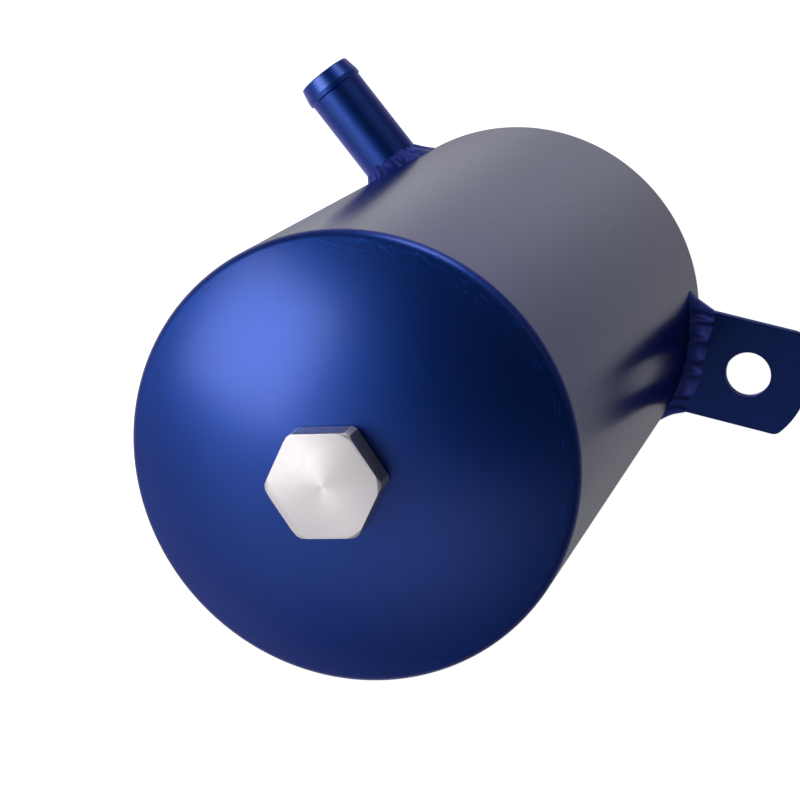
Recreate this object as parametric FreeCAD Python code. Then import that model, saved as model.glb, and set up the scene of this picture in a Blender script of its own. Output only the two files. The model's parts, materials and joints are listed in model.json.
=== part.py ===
import FreeCAD, Part
import math
import os

# Oil catch can for an engine bay, in millimetres. It is drawn about the can's own axis, with z = 0
# where the straight wall starts above the bottom end, and +Z towards the top end. The bracket points
# along +Y and the two hose spigots point forward to either side of -Y. Each piece is then moved so
# that the row's origin is the centre of the bracket's bolt hole, on the plate's lower face.

# Body: a straight tube closed by two pressed ends
BODY_OD = 76.0
BODY_WALL = 2.0
BODY_LENGTH = 124.0
CROWN_RADIUS = 75.0
END_WALL = 2.0
RIM_RADIUS = 2.1
SKIRT_DEPTH = 3.0
SKIRT_GAP = 0.05
SKIRT_BEND = 1.5
PREP_WIDTH = 2.2

# Drain: a hexagon-head plug and flat washer in a threaded bush
HEX_FLATS = 17.0
HEX_HEIGHT = 4.8
HEX_FACE_OD = 18.1
HEX_BLANK_OD = 19.1
HEX_CHAMFER = 30.0
HEX_TURN = 13.7
THREAD_OD = 12.0
THREAD_GAP = 0.05
SHANK_LENGTH = 9.5
SHANK_POINT = 1.0
RELIEF_DEPTH = 0.8
RELIEF_LENGTH = 1.5
WASHER_OD = 16.0
WASHER_THICKNESS = 1.0
WASHER_GAP = 0.1
MOUTH_WALL = 2.2
MOUTH_GAP = 0.05
BUSH_WALL = 5.0
BUSH_HEIGHT = 10.0
BUSH_POINT = 0.8
BUSH_WELD_LEG = 3.0

# Hose spigots: turned tubes with a stop bead at the end
SPIGOT_OD = 11.8
SPIGOT_BORE = 8.6
SPIGOT_STANDOUT = 25.4
SPIGOT_INSIDE = 1.0
SPIGOT_GAP = 0.05
SPIGOT_DROP = 9.5
SPIGOT_SPLAY = 39.4
BEAD_OD = 12.5
BEAD_TIP_OD = 11.2
BEAD_LENGTH = 4.2
BEAD_LAND = 1.2
BEAD_EDGE = 0.25
MOUTH_EDGE = 0.4
SPIGOT_WELD_LEG = 2.8
SPIGOT_WELD_FOOT = 2.9

# Bracket: one flat plate with a round-cornered, arched end and a bolt hole
TAB_WIDTH = 22.0
TAB_THICKNESS = 2.0
TAB_STANDOUT = 25.2
TAB_DROP = 10.0
TAB_END_RADIUS = 17.0
TAB_CORNER = 2.0
TAB_EDGE = 0.3
HOLE_OD = 9.3
HOLE_STANDOUT = 12.8
TAB_WELD_LEG = 3.8
TAB_WELD_SIDE = 2.3

# Welds keep a small step at their toes and stand a little proud of a flat fillet
TOE_STEP = 0.35
WELD_CROWN = 0.2

BODY_RADIUS = BODY_OD / 2
BORE_RADIUS = BODY_RADIUS - BODY_WALL
CROWN_CENTRE = math.sqrt((CROWN_RADIUS - RIM_RADIUS) ** 2 - (BODY_RADIUS - RIM_RADIUS) ** 2)
POLE_Z = CROWN_CENTRE - CROWN_RADIUS
BUSH_FACE_Z = POLE_Z + WASHER_THICKNESS
SHANK_RADIUS = THREAD_OD / 2 - THREAD_GAP
MOUTH_RADIUS = THREAD_OD / 2 + MOUTH_WALL
BUSH_RADIUS = THREAD_OD / 2 + BUSH_WALL
SPIGOT_RADIUS = SPIGOT_OD / 2
SPIGOT_TIP = BODY_RADIUS + SPIGOT_STANDOUT
SPIGOT_Z = BODY_LENGTH - SPIGOT_DROP
TAB_Z = BODY_LENGTH - TAB_DROP
TAB_TIP = BODY_RADIUS + TAB_STANDOUT
HOLE_Y = BODY_RADIUS + HOLE_STANDOUT

UP = FreeCAD.Vector(0, 0, 1)
CENTRE = FreeCAD.Vector(0, 0, 0)
TO_ORIGIN = FreeCAD.Vector(0, -HOLE_Y, -TAB_Z)


def at(radius, z):
    """A point of a turned section, in the XZ plane."""
    return FreeCAD.Vector(radius, 0, z)


def line(start, end):
    return Part.makeLine(start, end)


def arc(start, middle, end):
    return Part.Arc(start, middle, end).toShape()


def chain(points):
    return [line(a, b) for a, b in zip(points, points[1:])]


def turned(edges):
    """The solid that a closed section makes when it is turned about Z."""
    return Part.Face(Part.Wire(edges)).revolve(CENTRE, UP, 360)


def turned_points(points):
    return turned(chain(points + points[:1]))


def crown_point(radius, depth=0.0):
    """A point of the bottom end's dished face, or of the face that lies depth inside it."""
    return at(radius, CROWN_CENTRE - math.sqrt((CROWN_RADIUS - depth) ** 2 - radius ** 2))


def crown_arc(inner, outer, depth=0.0):
    middle = (inner + outer) / 2
    return arc(crown_point(inner, depth), crown_point(middle, depth), crown_point(outer, depth))


def rim_arc():
    """The rounded rim between the dished face and the straight wall."""
    lean = math.asin((BODY_RADIUS - RIM_RADIUS) / (CROWN_RADIUS - RIM_RADIUS))
    swing = [math.pi / 2 - lean, (math.pi / 2 - lean) / 2, 0.0]
    centre = BODY_RADIUS - RIM_RADIUS
    points = [at(centre + RIM_RADIUS * math.cos(a), -RIM_RADIUS * math.sin(a)) for a in swing]
    return arc(*points)


def to_top(shape):
    """The same piece on the other end of the body."""
    return shape.mirror(FreeCAD.Vector(0, 0, BODY_LENGTH / 2), UP)


def to_side(shape, side):
    """A piece drawn along Z from the can's axis, turned outward to a spigot's place."""
    placed = shape.copy()
    placed.rotate(CENTRE, FreeCAD.Vector(1, 0, 0), 90)
    placed.rotate(CENTRE, UP, side * SPIGOT_SPLAY)
    placed.translate(FreeCAD.Vector(0, 0, SPIGOT_Z))
    return placed


def body_tube():
    tube = Part.makeCylinder(BODY_RADIUS, BODY_LENGTH)
    tube = tube.cut(Part.makeCylinder(BORE_RADIUS, BODY_LENGTH))
    for side in (1, -1):
        tube = tube.cut(to_side(Part.makeCylinder(SPIGOT_RADIUS + SPIGOT_GAP, BODY_OD), side))
    return tube


def pressed_end(hole_radius):
    """A dished end with its skirt inside the tube and its outer corner bevelled for the weld."""
    skirt = BORE_RADIUS - SKIRT_GAP
    skirt_bore = skirt - END_WALL
    prep = crown_point(skirt - PREP_WIDTH)
    prep_top = at(skirt, prep.z + PREP_WIDTH)
    bend = skirt_bore - SKIRT_BEND
    bend_start = crown_point(bend, END_WALL)
    bend_end = at(skirt_bore, SKIRT_DEPTH - SKIRT_BEND / 2)
    turn = at(skirt_bore - SKIRT_BEND / 4, (bend_start.z + bend_end.z) / 2)
    edges = [crown_arc(hole_radius, prep.x)]
    edges += chain([prep, prep_top, at(skirt, SKIRT_DEPTH), at(skirt_bore, SKIRT_DEPTH), bend_end])
    edges += [arc(bend_end, turn, bend_start), crown_arc(bend, hole_radius, END_WALL)]
    edges += [line(crown_point(hole_radius, END_WALL), crown_point(hole_radius))]
    return turned(edges)


def seam_weld():
    """The ring of weld in the corner between the tube's end and the pressed end, ground flush."""
    skirt = BORE_RADIUS - SKIRT_GAP
    prep = crown_point(skirt - PREP_WIDTH)
    rim = rim_arc()
    rim_start = rim.Vertexes[0].Point
    edges = [crown_arc(prep.x, rim_start.x), rim]
    edges += chain([at(BODY_RADIUS, 0), at(skirt, 0), at(skirt, prep.z + PREP_WIDTH), prep])
    return turned(edges)


def drain_bush():
    """The bush stands on the end's inner face, and its mouth fills the hole in the dome."""
    shoulder = crown_point(BUSH_RADIUS, END_WALL).z
    top = BUSH_FACE_Z + BUSH_HEIGHT
    bore = THREAD_OD / 2
    return turned_points([
        at(bore, BUSH_FACE_Z),
        at(MOUTH_RADIUS, BUSH_FACE_Z),
        at(MOUTH_RADIUS, shoulder),
        at(BUSH_RADIUS, shoulder),
        at(BUSH_RADIUS, top - BUSH_POINT),
        at(BUSH_RADIUS - BUSH_POINT, top),
        at(bore, top),
    ])


def drain_bush_weld():
    root = crown_point(BUSH_RADIUS, END_WALL)
    toe = crown_point(BUSH_RADIUS + BUSH_WELD_LEG, END_WALL)
    upper = at(BUSH_RADIUS, root.z + BUSH_WELD_LEG)
    return turned([crown_arc(root.x, toe.x, END_WALL), line(toe, upper), line(upper, root)])


def drain_washer():
    ring = Part.makeCylinder(WASHER_OD / 2, WASHER_THICKNESS, at(0, POLE_Z))
    return ring.cut(Part.makeCylinder(SHANK_RADIUS + WASHER_GAP, WASHER_THICKNESS, at(0, POLE_Z)))


def drain_plug():
    """A hexagon milled from round bar, so its corners stay round, on a relieved shank."""
    face = POLE_Z - HEX_HEIGHT
    corner = HEX_FLATS / math.sqrt(3)
    turns = [math.radians(60 * k) for k in range(7)]
    hexagon = [FreeCAD.Vector(corner * math.cos(a), corner * math.sin(a), face) for a in turns]
    head = Part.Face(Part.makePolygon(hexagon)).extrude(UP * HEX_HEIGHT)
    head.rotate(CENTRE, UP, HEX_TURN)
    bar = HEX_BLANK_OD / 2
    fall = (bar - HEX_FACE_OD / 2) * math.tan(math.radians(HEX_CHAMFER))
    blank = turned_points([
        at(0, face),
        at(HEX_FACE_OD / 2, face),
        at(bar, face + fall),
        at(bar, POLE_Z),
        at(0, POLE_Z),
    ])
    relief = SHANK_RADIUS - RELIEF_DEPTH
    shank = turned_points([
        at(0, POLE_Z),
        at(relief, POLE_Z),
        at(relief, POLE_Z + RELIEF_LENGTH),
        at(SHANK_RADIUS, POLE_Z + RELIEF_LENGTH + RELIEF_DEPTH),
        at(SHANK_RADIUS, POLE_Z + SHANK_LENGTH - SHANK_POINT),
        at(SHANK_RADIUS - SHANK_POINT, POLE_Z + SHANK_LENGTH),
        at(0, POLE_Z + SHANK_LENGTH),
    ])
    return head.common(blank).fuse(shank).removeSplitter()


def spigot():
    """A spigot drawn along Z from the can's axis: plain tube, then the bead with its square step."""
    bore = SPIGOT_BORE / 2
    bead = BEAD_OD / 2
    step = SPIGOT_TIP - BEAD_LENGTH
    return turned_points([
        at(bore, BORE_RADIUS - SPIGOT_INSIDE),
        at(SPIGOT_RADIUS, BORE_RADIUS - SPIGOT_INSIDE),
        at(SPIGOT_RADIUS, step),
        at(bead - BEAD_EDGE, step),
        at(bead, step + BEAD_EDGE),
        at(bead, step + BEAD_LAND),
        at(BEAD_TIP_OD / 2 + BEAD_EDGE / 2, SPIGOT_TIP - BEAD_EDGE),
        at(BEAD_TIP_OD / 2 - BEAD_EDGE / 2, SPIGOT_TIP),
        at(bore + MOUTH_EDGE, SPIGOT_TIP),
        at(bore, SPIGOT_TIP - MOUTH_EDGE),
    ])


def spigot_weld():
    """A fillet ring drawn along Z, with its foot cut to the body's round wall."""
    upper = at(SPIGOT_RADIUS + TOE_STEP, BODY_RADIUS + SPIGOT_WELD_LEG)
    foot = at(SPIGOT_RADIUS + SPIGOT_WELD_FOOT, BODY_RADIUS)
    crown = (upper + foot) * 0.5 + at(WELD_CROWN, WELD_CROWN)
    sunk = foot - at(0, BODY_WALL)
    spread = sunk + at(BODY_WALL / 2, 0)
    edges = [line(at(SPIGOT_RADIUS, sunk.z), at(SPIGOT_RADIUS, upper.z))]
    edges += [line(at(SPIGOT_RADIUS, upper.z), upper), arc(upper, crown, foot)]
    edges += chain([foot, spread, at(SPIGOT_RADIUS, sunk.z)])
    ring = turned(edges)
    wall = Part.makeCylinder(BODY_RADIUS, BODY_OD, FreeCAD.Vector(0, -BODY_RADIUS, 0),
                             FreeCAD.Vector(0, 1, 0))
    return ring.cut(wall)


def bracket_blank():
    """The plate's outline as far as the can's axis, without its hole."""
    half = TAB_WIDTH / 2
    centre = TAB_TIP - TAB_END_RADIUS
    shoulder = centre + math.sqrt(TAB_END_RADIUS ** 2 - half ** 2)
    right = FreeCAD.Vector(half, shoulder, TAB_Z)
    left = FreeCAD.Vector(-half, shoulder, TAB_Z)
    base = [left, FreeCAD.Vector(-half, 0, TAB_Z), FreeCAD.Vector(half, 0, TAB_Z), right]
    edges = chain(base) + [arc(right, FreeCAD.Vector(0, TAB_TIP, TAB_Z), left)]
    plate = Part.Face(Part.Wire(edges)).extrude(UP * TAB_THICKNESS)
    corners = [e for e in plate.Edges if is_corner(e, half, shoulder)]
    return plate.makeFillet(TAB_CORNER, corners)


def is_corner(edge, half, shoulder):
    middle = edge.CenterOfMass
    return abs(abs(middle.x) - half) < 0.01 and abs(middle.y - shoulder) < 0.01


def is_rim(edge):
    """An edge of the plate's outline that lies in one of its two faces, clear of the body."""
    box = edge.BoundBox
    return box.ZLength < 0.01 and box.YMax > BODY_RADIUS


def bracket_tab():
    plate = bracket_blank()
    plate = plate.makeFillet(TAB_EDGE, [e for e in plate.Edges if is_rim(e)])
    plate = plate.cut(Part.makeCylinder(BODY_RADIUS, BODY_LENGTH * 2))
    hole = FreeCAD.Vector(0, HOLE_Y, TAB_Z)
    return plate.cut(Part.makeCylinder(HOLE_OD / 2, TAB_THICKNESS, hole))


def round_rectangle(width, height, corner, y):
    """A wire round the plate's section, in the plane at y."""
    a = width / 2
    b = height / 2
    middle = TAB_Z + TAB_THICKNESS / 2
    slant = corner * (1 - math.sqrt(0.5))

    def point(x, z):
        return FreeCAD.Vector(x, y, middle + z)

    edges = []
    for sx, sz in ((1, 1), (-1, 1), (-1, -1), (1, -1)):
        side = point(sx * a, sz * (b - corner))
        flat = point(sx * (a - corner), sz * b)
        turn = point(sx * (a - slant), sz * (b - slant))
        if sx == sz:
            edges.append(arc(side, turn, flat))
        else:
            edges.append(arc(flat, turn, side))
    links = []
    for k in range(4):
        links.append(edges[k])
        links.append(line(edges[k].Vertexes[-1].Point, edges[(k + 1) % 4].Vertexes[0].Point))
    return Part.Wire(links)


def bracket_weld():
    """A fillet that runs all round the plate's root, swelling from its toe to the body's wall."""
    toe = BODY_RADIUS + TAB_WELD_LEG
    half_angle = math.asin(TAB_WIDTH / 2 / BODY_RADIUS)
    foot = BODY_RADIUS * (1 + math.cos(half_angle)) / 2
    sunk = foot - 2 * BODY_WALL
    middle = (toe + foot) / 2
    swell = TAB_WELD_SIDE / 2 + WELD_CROWN
    stations = [
        (toe, TOE_STEP),
        (middle, swell),
        (foot, TAB_WELD_SIDE),
        (sunk, TAB_WELD_SIDE + 2 * BODY_WALL * TAB_WELD_SIDE / (toe - foot)),
    ]
    wires = []
    for y, grow in stations:
        wires.append(round_rectangle(TAB_WIDTH + 2 * grow, TAB_THICKNESS + 2 * grow, grow, y))
    collar = Part.makeLoft(wires, True, True)
    plate = bracket_blank()
    collar = collar.cut(Part.makeCylinder(BODY_RADIUS, BODY_LENGTH * 2))
    return collar.cut(plate)


def save(name, shape):
    solid = shape.copy()
    solid.translate(TO_ORIGIN)
    solids = solid.Solids
    if len(solids) != 1 or not solid.isValid():
        raise ValueError(f"{name}: {len(solids)} solids, valid {solid.isValid()}")
    solids[0].exportStep(f"parts/{name}.step")
    print(f"{name}: {solids[0].Volume / 1000:.2f} cm3")


def main():
    os.makedirs("parts", exist_ok=True)
    save("body_tube", body_tube())
    save("bottom_dome", pressed_end(MOUTH_RADIUS + MOUTH_GAP))
    save("bottom_seam_weld", seam_weld())
    save("top_dome", to_top(pressed_end(0.0)))
    save("top_seam_weld", to_top(seam_weld()))
    save("drain_bush", drain_bush())
    save("drain_bush_weld", drain_bush_weld())
    save("drain_washer", drain_washer())
    save("drain_plug", drain_plug())
    for name, side in (("inlet", 1), ("outlet", -1)):
        save(f"{name}_spigot", to_side(spigot(), side))
        save(f"{name}_weld", to_side(spigot_weld(), side))
    save("bracket_tab", bracket_tab())
    save("bracket_weld", bracket_weld())


main()
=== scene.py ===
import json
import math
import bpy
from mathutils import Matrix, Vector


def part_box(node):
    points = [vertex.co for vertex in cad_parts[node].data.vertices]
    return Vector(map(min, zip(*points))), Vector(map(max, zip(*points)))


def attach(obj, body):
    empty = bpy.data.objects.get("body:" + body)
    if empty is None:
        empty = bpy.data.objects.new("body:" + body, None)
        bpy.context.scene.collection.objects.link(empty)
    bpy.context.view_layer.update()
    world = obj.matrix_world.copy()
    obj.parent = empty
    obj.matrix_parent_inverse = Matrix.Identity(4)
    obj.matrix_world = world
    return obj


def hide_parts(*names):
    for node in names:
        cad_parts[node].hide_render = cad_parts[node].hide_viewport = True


bl_info = {
    "name": "Oil catch can",
    "version": (1, 0, 0),
    "blender": (4, 5, 0),
    "location": "View3D > Sidebar > Catch can",
    "description": "Weld beads, threaded plug and finishes of a welded, anodised oil catch can",
    "category": "Object",
}

import bmesh
import bpy
from mathutils import Matrix, Vector, noise
from mathutils.geometry import interpolate_bezier

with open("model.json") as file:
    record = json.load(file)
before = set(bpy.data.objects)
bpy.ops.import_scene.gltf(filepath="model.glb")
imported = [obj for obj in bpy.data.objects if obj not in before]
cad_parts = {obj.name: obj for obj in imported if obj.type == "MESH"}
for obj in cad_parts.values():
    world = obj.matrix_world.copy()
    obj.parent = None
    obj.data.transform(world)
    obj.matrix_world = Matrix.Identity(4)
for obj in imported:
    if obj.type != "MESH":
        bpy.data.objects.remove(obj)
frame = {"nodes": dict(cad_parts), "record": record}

MM = 0.001
TUBE_LOW, TUBE_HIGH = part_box("body_tube")
PLATE_LOW, PLATE_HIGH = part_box("bracket_tab")
PLUG_LOW, PLUG_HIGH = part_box("drain_plug")
BUSH_LOW, BUSH_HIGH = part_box("drain_bush")
DOME_LOW, DOME_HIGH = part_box("bottom_dome")
MOUNTS = {mount["name"]: mount for mount in frame["record"]["mounts"]}
AXIS = Vector(((TUBE_LOW.x + TUBE_HIGH.x) / 2, (TUBE_LOW.y + TUBE_HIGH.y) / 2, 0.0))
BODY_RADIUS = (TUBE_HIGH.x - TUBE_LOW.x) / 2
PLATE_THICKNESS = PLATE_HIGH.z - PLATE_LOW.z
PLATE_HALF = (PLATE_HIGH.x - PLATE_LOW.x) / 2


class FinishSettings(bpy.types.PropertyGroup):
    anodise: bpy.props.FloatVectorProperty(
        name="Anodise blue",
        description="Colour of the dyed oxide on the body, the ends and the spigots",
        subtype="COLOR", size=3, min=0.0, max=1.0, default=(0.006, 0.052, 0.36))
    # Painted shade: the bracket plate's blue is darker than the body's to stand in for the shade on the plate; the
    # plate is anodised like the rest.
    sheet: bpy.props.FloatVectorProperty(
        name="Bracket blue",
        description="Colour of the dyed oxide on the bracket plate, which takes the dye more deeply",
        subtype="COLOR", size=3, min=0.0, max=1.0, default=(0.003, 0.022, 0.15))
    # Partly painted light: the weld blue is lighter than the body's, partly the filler metal's own violet and
    # partly to stand in for light falling on the beads.
    bead: bpy.props.FloatVectorProperty(
        name="Weld blue",
        description="Colour of the dyed oxide on the weld beads, whose filler metal turns more violet",
        subtype="COLOR", size=3, min=0.0, max=1.0, default=(0.055, 0.085, 0.5))
    bare: bpy.props.FloatVectorProperty(
        name="Bare metal",
        description="Colour of the turned drain plug",
        subtype="COLOR", size=3, min=0.0, max=1.0, default=(0.90, 0.87, 0.94))
    seal: bpy.props.FloatVectorProperty(
        name="Seal",
        description="Colour of the flat sealing washer",
        subtype="COLOR", size=3, min=0.0, max=1.0, default=(0.03, 0.03, 0.032))


class EndSettings(bpy.types.PropertyGroup):
    crown: bpy.props.FloatProperty(
        name="Crown radius", description="Radius of the dished face of a pressed end",
        unit="LENGTH", min=0.04, default=75.0 * MM)
    rim: bpy.props.FloatProperty(
        name="Rim radius", description="Radius of the corner between the dished face and the tube's side",
        unit="LENGTH", min=0.0005, default=2.1 * MM)
    wall: bpy.props.FloatProperty(
        name="End wall", description="Thickness of a pressed end's sheet",
        unit="LENGTH", min=0.0005, default=2.0 * MM)
    skirt: bpy.props.FloatProperty(
        name="Skirt", description="How far a pressed end's skirt reaches into the tube",
        unit="LENGTH", min=0.001, default=3.0 * MM)
    bevel: bpy.props.FloatProperty(
        name="Weld bevel", description="Width of the bevel that the seam weld fills",
        unit="LENGTH", min=0.0005, default=2.2 * MM)
    drain_hole: bpy.props.FloatProperty(
        name="Drain hole", description="Width of the bottom end's hole for the threaded bush",
        unit="LENGTH", min=0.001, default=16.5 * MM)


class PlugSettings(bpy.types.PropertyGroup):
    flats: bpy.props.FloatProperty(
        name="Across flats", description="Width of the plug's hexagon",
        unit="LENGTH", min=0.001, default=17.0 * MM)
    bar: bpy.props.FloatProperty(
        name="Bar", description="Width of the round bar that the hexagon is milled from",
        unit="LENGTH", min=0.001, default=19.1 * MM)
    face: bpy.props.FloatProperty(
        name="Face", description="Width of the turned flat on the hexagon's front",
        unit="LENGTH", min=0.001, default=18.1 * MM)
    height: bpy.props.FloatProperty(
        name="Head height", description="Height of the plug's hexagon",
        unit="LENGTH", min=0.001, default=4.8 * MM)
    turn: bpy.props.FloatProperty(
        name="Hexagon turn", description="Angle of the hexagon's first corner from +X when the plug is tight",
        unit="ROTATION", default=math.radians(13.7))
    thread: bpy.props.FloatProperty(
        name="Thread", description="Outer width of the plug's thread",
        unit="LENGTH", min=0.001, default=11.9 * MM)
    pitch: bpy.props.FloatProperty(
        name="Pitch", description="Travel of the plug in one turn",
        unit="LENGTH", min=0.0001, default=1.5 * MM)


class WeldSettings(bpy.types.PropertyGroup):
    spigot: bpy.props.FloatProperty(
        name="Spigot width", description="Outer width of a hose spigot at its weld",
        unit="LENGTH", min=0.001, default=11.8 * MM)
    spigot_leg: bpy.props.FloatProperty(
        name="Spigot weld leg", description="How far the weld runs up a spigot",
        unit="LENGTH", min=0.0005, default=2.7 * MM)
    spigot_foot: bpy.props.FloatProperty(
        name="Spigot weld foot", description="How far the weld runs out over the tube around a spigot",
        unit="LENGTH", min=0.0005, default=2.8 * MM)
    plate_leg: bpy.props.FloatProperty(
        name="Bracket weld leg", description="How far the weld runs along the bracket plate",
        unit="LENGTH", min=0.0005, default=3.7 * MM)
    plate_foot: bpy.props.FloatProperty(
        name="Bracket weld foot", description="How far the weld runs out over the tube around the plate",
        unit="LENGTH", min=0.0005, default=2.3 * MM)
    pad: bpy.props.FloatProperty(
        name="Pad length", description="Distance from one pad of weld metal to the next",
        unit="LENGTH", min=0.0005, default=2.9 * MM)


class StageSettings(bpy.types.PropertyGroup):
    floor_height: bpy.props.FloatProperty(
        name="Floor height", description="Height of the floor below the bracket's bolt hole",
        unit="LENGTH", max=-0.2, default=-0.86)
    floor_colour: bpy.props.FloatVectorProperty(
        name="Floor", description="Colour of the floor and of the wall that it curves up into",
        subtype="COLOR", size=3, min=0.0, max=1.0, default=(0.86, 0.86, 0.87))
    key_power: bpy.props.FloatProperty(
        name="Key power", description="Power of the softbox that lights the bottom end",
        subtype="POWER", min=0.0, default=2.6)


def finish():
    return bpy.context.scene.can_finish


def end_sizes():
    return bpy.context.scene.can_ends


def plug_sizes():
    return bpy.context.scene.can_plug


def weld_sizes():
    return bpy.context.scene.can_welds


def node(tree, kind, **values):
    """A new node; names with a capital are sockets and the others are the node's own settings."""
    made = tree.nodes.new(kind)
    for name, value in values.items():
        if name[0].isupper():
            made.inputs[name.replace("_", " ")].default_value = value
        else:
            setattr(made, name, value)
    return made


def new_group(name, sockets):
    """A shader node group with named inputs and outputs, as (tree, input node, output node)."""
    tree = bpy.data.node_groups.new(name, "ShaderNodeTree")
    for label, way, kind, default in sockets:
        made = tree.interface.new_socket(name=label, in_out=way, socket_type=kind)
        if default is not None:
            made.default_value = default
    return tree, tree.nodes.new("NodeGroupInput"), tree.nodes.new("NodeGroupOutput")


def ranged(tree, source, low, high, start=0.0, end=1.0):
    """source, brought from start..end to low..high."""
    level = node(tree, "ShaderNodeMapRange", From_Min=start, From_Max=end, To_Min=low, To_Max=high)
    tree.links.new(source, level.inputs["Value"])
    return level.outputs["Result"]


def build_grain():
    """Fine, even grain of a blasted or etched metal surface."""
    tree, inside, outside = new_group("metal_grain", [
        ("Vector", "INPUT", "NodeSocketVector", None),
        ("Grain size", "INPUT", "NodeSocketFloat", 0.0004),
        ("Mask", "OUTPUT", "NodeSocketFloat", None),
    ])
    inverse = node(tree, "ShaderNodeMath", operation="DIVIDE")
    inverse.inputs[0].default_value = 1.0
    fine = node(tree, "ShaderNodeTexNoise", Detail=3.0, Roughness=0.65)
    tree.links.new(inside.outputs["Grain size"], inverse.inputs[1])
    tree.links.new(inside.outputs["Vector"], fine.inputs["Vector"])
    tree.links.new(inverse.outputs["Value"], fine.inputs["Scale"])
    tree.links.new(fine.outputs["Fac"], outside.inputs["Mask"])
    return tree


def build_dye():
    """Dyed oxide that took the dye a little deeper in some places than in others."""
    tree, inside, outside = new_group("dye_depth", [
        ("Vector", "INPUT", "NodeSocketVector", None),
        ("Dye", "INPUT", "NodeSocketColor", None),
        ("Cloud size", "INPUT", "NodeSocketFloat", 0.02),
        ("Unevenness", "INPUT", "NodeSocketFloat", 0.1),
        ("Colour", "OUTPUT", "NodeSocketColor", None),
    ])
    inverse = node(tree, "ShaderNodeMath", operation="DIVIDE")
    inverse.inputs[0].default_value = 1.0
    cloud = node(tree, "ShaderNodeTexNoise", Detail=4.0, Roughness=0.6)
    spread = node(tree, "ShaderNodeMapRange", From_Min=0.3, From_Max=0.7, To_Max=1.0)
    least = node(tree, "ShaderNodeMath", operation="SUBTRACT")
    least.inputs[0].default_value = 1.0
    shift = node(tree, "ShaderNodeHueSaturation", Saturation=1.0)
    links = tree.links
    links.new(inside.outputs["Cloud size"], inverse.inputs[1])
    links.new(inside.outputs["Vector"], cloud.inputs["Vector"])
    links.new(inverse.outputs["Value"], cloud.inputs["Scale"])
    links.new(inside.outputs["Unevenness"], least.inputs[1])
    links.new(cloud.outputs["Fac"], spread.inputs["Value"])
    links.new(least.outputs["Value"], spread.inputs["To Min"])
    links.new(inside.outputs["Dye"], shift.inputs["Color"])
    links.new(spread.outputs["Result"], shift.inputs["Value"])
    links.new(shift.outputs["Color"], outside.inputs["Colour"])
    return tree


def build_lathe():
    """Tool marks of turning: rings round the piece's Z axis, on its faces and along its length."""
    tree, inside, outside = new_group("lathe_rings", [
        ("Vector", "INPUT", "NodeSocketVector", None),
        ("Ring spacing", "INPUT", "NodeSocketFloat", 0.0001),
        ("Mask", "OUTPUT", "NodeSocketFloat", None),
    ])
    split = node(tree, "ShaderNodeSeparateXYZ")
    flat = node(tree, "ShaderNodeCombineXYZ")
    radius = node(tree, "ShaderNodeVectorMath", operation="LENGTH")
    path = node(tree, "ShaderNodeMath", operation="ADD")
    count = node(tree, "ShaderNodeMath", operation="DIVIDE")
    rings = node(tree, "ShaderNodeTexNoise", noise_dimensions="1D", Scale=1.0, Detail=2.0, Roughness=0.6)
    links = tree.links
    links.new(inside.outputs["Vector"], split.inputs["Vector"])
    links.new(split.outputs["X"], flat.inputs["X"])
    links.new(split.outputs["Y"], flat.inputs["Y"])
    links.new(flat.outputs["Vector"], radius.inputs[0])
    links.new(radius.outputs["Value"], path.inputs[0])
    links.new(split.outputs["Z"], path.inputs[1])
    links.new(path.outputs["Value"], count.inputs[0])
    links.new(inside.outputs["Ring spacing"], count.inputs[1])
    links.new(count.outputs["Value"], rings.inputs["W"])
    links.new(rings.outputs["Fac"], outside.inputs["Mask"])
    return tree


def build_draw():
    """Faint lines along Z, as drawing or rolling leaves them."""
    tree, inside, outside = new_group("draw_lines", [
        ("Vector", "INPUT", "NodeSocketVector", None),
        ("Line width", "INPUT", "NodeSocketFloat", 0.0003),
        ("Mask", "OUTPUT", "NodeSocketFloat", None),
    ])
    stretch = node(tree, "ShaderNodeVectorMath", operation="MULTIPLY")
    stretch.inputs[1].default_value = (1.0, 1.0, 0.012)
    inverse = node(tree, "ShaderNodeMath", operation="DIVIDE")
    inverse.inputs[0].default_value = 1.0
    lines = node(tree, "ShaderNodeTexNoise", Detail=3.0, Roughness=0.6)
    tree.links.new(inside.outputs["Vector"], stretch.inputs[0])
    tree.links.new(stretch.outputs["Vector"], lines.inputs["Vector"])
    tree.links.new(inside.outputs["Line width"], inverse.inputs[1])
    tree.links.new(inverse.outputs["Value"], lines.inputs["Scale"])
    tree.links.new(lines.outputs["Fac"], outside.inputs["Mask"])
    return tree


def build_nicks():
    """Short random scratches and dents, thinly spread."""
    tree, inside, outside = new_group("nicks", [
        ("Vector", "INPUT", "NodeSocketVector", None),
        ("Size", "INPUT", "NodeSocketFloat", 0.001),
        ("Mask", "OUTPUT", "NodeSocketFloat", None),
    ])
    inverse = node(tree, "ShaderNodeMath", operation="DIVIDE")
    inverse.inputs[0].default_value = 1.0
    bend = node(tree, "ShaderNodeMapping", Rotation=(0.5, 0.9, 0.3), Scale=(1.0, 0.22, 1.0))
    marks = node(tree, "ShaderNodeTexNoise", Detail=2.0, Roughness=0.7, Distortion=1.2)
    spread = node(tree, "ShaderNodeMapRange", From_Min=0.60, From_Max=0.68)
    links = tree.links
    links.new(inside.outputs["Size"], inverse.inputs[1])
    links.new(inside.outputs["Vector"], bend.inputs["Vector"])
    links.new(bend.outputs["Vector"], marks.inputs["Vector"])
    links.new(inverse.outputs["Value"], marks.inputs["Scale"])
    links.new(marks.outputs["Fac"], spread.inputs["Value"])
    links.new(spread.outputs["Result"], outside.inputs["Mask"])
    return tree


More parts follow.
